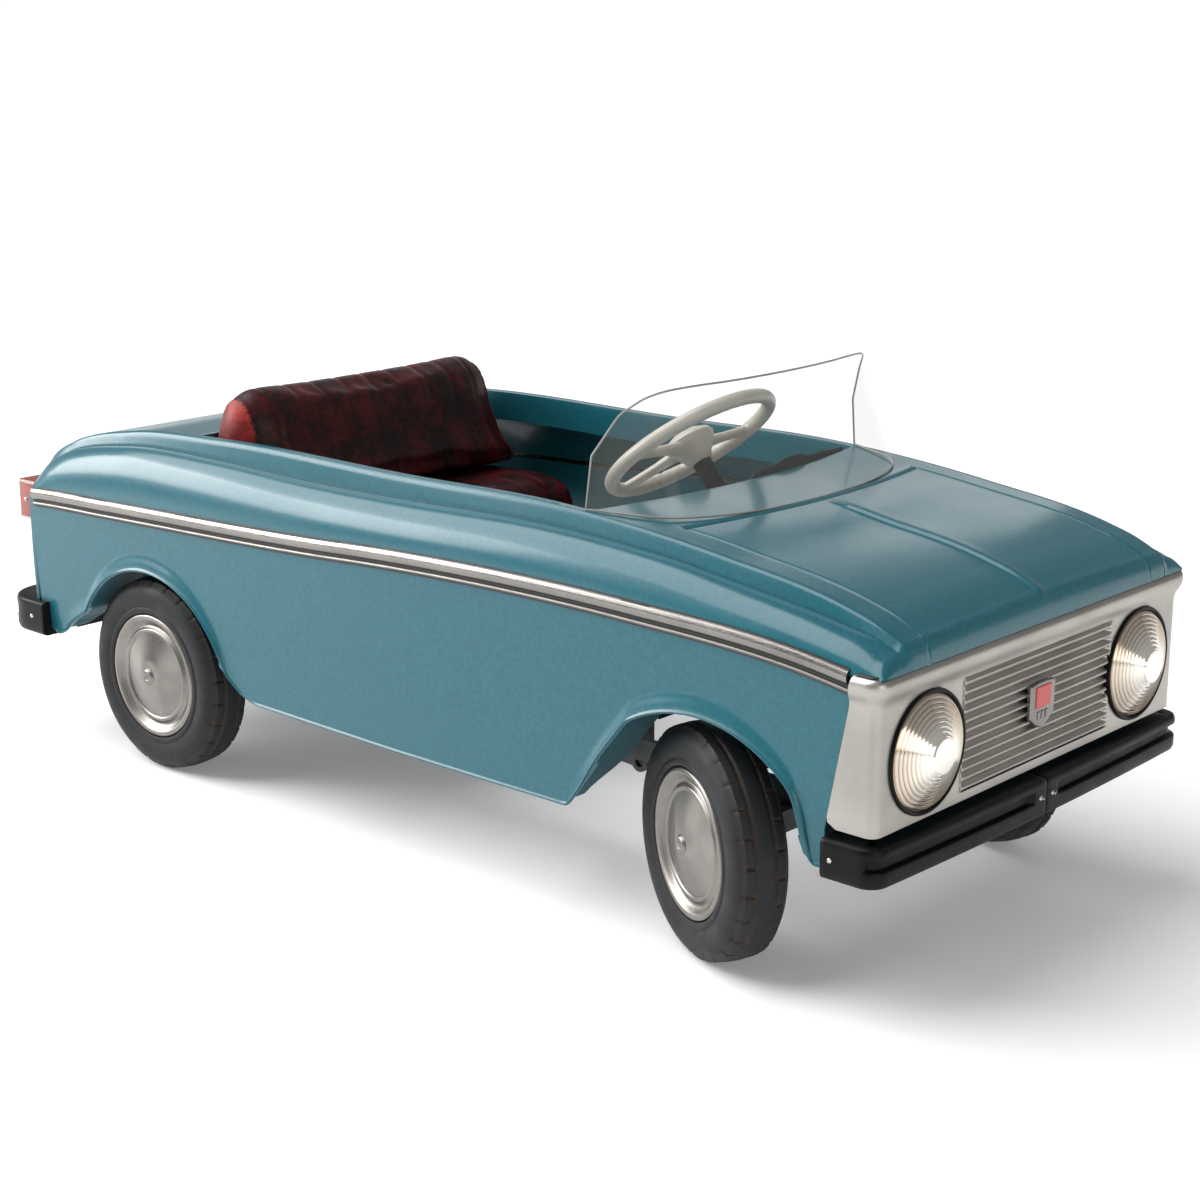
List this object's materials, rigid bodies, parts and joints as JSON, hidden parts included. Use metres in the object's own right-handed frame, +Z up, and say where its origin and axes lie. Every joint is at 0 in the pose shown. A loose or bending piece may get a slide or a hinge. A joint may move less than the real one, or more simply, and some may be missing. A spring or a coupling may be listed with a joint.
{
  "type": "pedal car",
  "caption": "Child's open pedal car: pressed steel body, bench seat, bowed windscreen, steered front wheels and a treadle drive to the cranked rear axle.",
  "frame": {"origin": "on the ground under the middle of the bounding box, with the wheels standing on Z = 0", "axes": "+X towards the front of the car, +Y to the car's left side, +Z up"},
  "size_m": [1.136, 0.4918, 0.446],
  "materials": {
    "paint": "gloss teal blue enamel over pressed steel",
    "bright": "brushed bright metal",
    "black": "satin black moulded plastic",
    "tyre": "moulded black rubber with blocks on the shoulders",
    "lamp": "ribbed clear lamp lens",
    "red": "moulded red lamp plastic",
    "clear": "thin clear bent plastic sheet",
    "leather": "mottled burgundy leathercloth with sewn channels",
    "ivory": "moulded ivory plastic",
    "steel": "dark painted steel"
  },
  "bodies": {
    "body": {"side_panel_right": "paint", "side_panel_left": "paint", "shoulder_right": "paint", "shoulder_left": "paint", "bonnet": "paint", "cowl": "paint", "rear_deck": "paint", "tail_panel": "paint", "front_apron": "paint", "grille_shell": "bright", "grille_ribs": "bright", "headlamp_ring_right": "black", "headlamp_reflector_right": "bright", "headlamp_lens_right": "lamp", "headlamp_ring_left": "black", "headlamp_reflector_left": "bright", "headlamp_lens_left": "lamp", "badge": "bright", "front_bumper_right": "black", "front_bumper_left": "black", "rear_bumper": "black", "tail_lamp_right": "red", "tail_lamp_left": "red", "belt_trim_right": "bright", "belt_trim_left": "bright", "windscreen": "clear", "seat_back": "leather", "seat_base": "leather", "seat_pan": "steel", "chassis_rail_right": "steel", "chassis_rail_left": "steel", "front_beam": "steel", "pedal_hanger": "steel", "dash_trim": "black"},
    "rear_axle": {"rear_axle": "steel", "rear_tyre_right": "tyre", "rear_tyre_left": "tyre", "rear_disc_right": "bright", "rear_disc_left": "bright", "rear_hub_nut_right": "bright", "rear_hub_nut_left": "bright"},
    "push_rod_right": {"push_rod_right": "steel"},
    "push_rod_left": {"push_rod_left": "steel"},
    "pedal_right": {"pedal_lever_right": "steel", "pedal_pad_right": "black"},
    "pedal_left": {"pedal_lever_left": "steel", "pedal_pad_left": "black"},
    "steering": {"steering_column": "steel", "steering_wheel": "ivory"},
    "knuckle_right": {"knuckle_right": "steel"},
    "knuckle_left": {"knuckle_left": "steel"},
    "track_rod": {"track_rod": "steel"},
    "front_wheel_right": {"front_tyre_right": "tyre", "front_disc_right": "bright", "front_hub_nut_right": "bright"},
    "front_wheel_left": {"front_tyre_left": "tyre", "front_disc_left": "bright", "front_hub_nut_left": "bright"}
  },
  "joints": [
    {"name": "rear_axle_spin", "type": "hinge", "parent": "body", "child": "rear_axle", "pos_m": [-0.329, 0, 0.0975], "axis": [0, 1, 0], "continuous": true},
    {"name": "push_rod_right_swing", "type": "hinge", "parent": "rear_axle", "child": "push_rod_right", "pos_m": [-0.329, -0.083, 0.1315], "axis": [0, 1, 0], "continuous": true},
    {"name": "push_rod_left_swing", "type": "hinge", "parent": "rear_axle", "child": "push_rod_left", "pos_m": [-0.329, 0.083, 0.0635], "axis": [0, 1, 0], "continuous": true},
    {"name": "pedal_right_swing", "type": "hinge", "parent": "body", "child": "pedal_right", "pos_m": [0.202, -0.075, 0.265], "axis": [0, 1, 0], "range_deg": [-12, 12]},
    {"name": "pedal_left_swing", "type": "hinge", "parent": "body", "child": "pedal_left", "pos_m": [0.202, 0.075, 0.265], "axis": [0, 1, 0], "range_deg": [-12, 12]},
    {"name": "knuckle_right_steer", "type": "hinge", "parent": "body", "child": "knuckle_right", "pos_m": [0.381, -0.167, 0.0975], "axis": [0, 0, 1], "range_deg": [-3, 53]},
    {"name": "knuckle_left_steer", "type": "hinge", "parent": "body", "child": "knuckle_left", "pos_m": [0.381, 0.167, 0.0975], "axis": [0, 0, 1], "range_deg": [-3, 53]},
    {"name": "track_rod_swing", "type": "hinge", "parent": "knuckle_right", "child": "track_rod", "pos_m": [0.34837, -0.15179, 0.13372], "axis": [0, 0, 1], "range_deg": [-53, 3]},
    {"name": "steering_turn", "type": "hinge", "parent": "body", "child": "steering", "pos_m": [0.186, 0, 0.37], "axis": [-0.6587, 0, 0.7524], "range_deg": [-3, 53]},
    {"name": "front_wheel_right_spin", "type": "hinge", "parent": "knuckle_right", "child": "front_wheel_right", "pos_m": [0.381, -0.167, 0.0975], "axis": [0.4226, 0.9063, 0], "continuous": true},
    {"name": "front_wheel_left_spin", "type": "hinge", "parent": "knuckle_left", "child": "front_wheel_left", "pos_m": [0.381, 0.167, 0.0975], "axis": [0.4226, 0.9063, 0], "continuous": true}
  ],
  "couplings": [
    {"joint": "push_rod_right_swing", "follows": "rear_axle_spin", "ratio": -1},
    {"joint": "push_rod_left_swing", "follows": "rear_axle_spin", "ratio": -1},
    {"joint": "pedal_left_swing", "follows": "pedal_right_swing", "ratio": -1},
    {"joint": "knuckle_left_steer", "follows": "knuckle_right_steer", "ratio": 1},
    {"joint": "track_rod_swing", "follows": "knuckle_right_steer", "ratio": -1},
    {"joint": "steering_turn", "follows": "knuckle_right_steer", "ratio": 1}
  ]
}
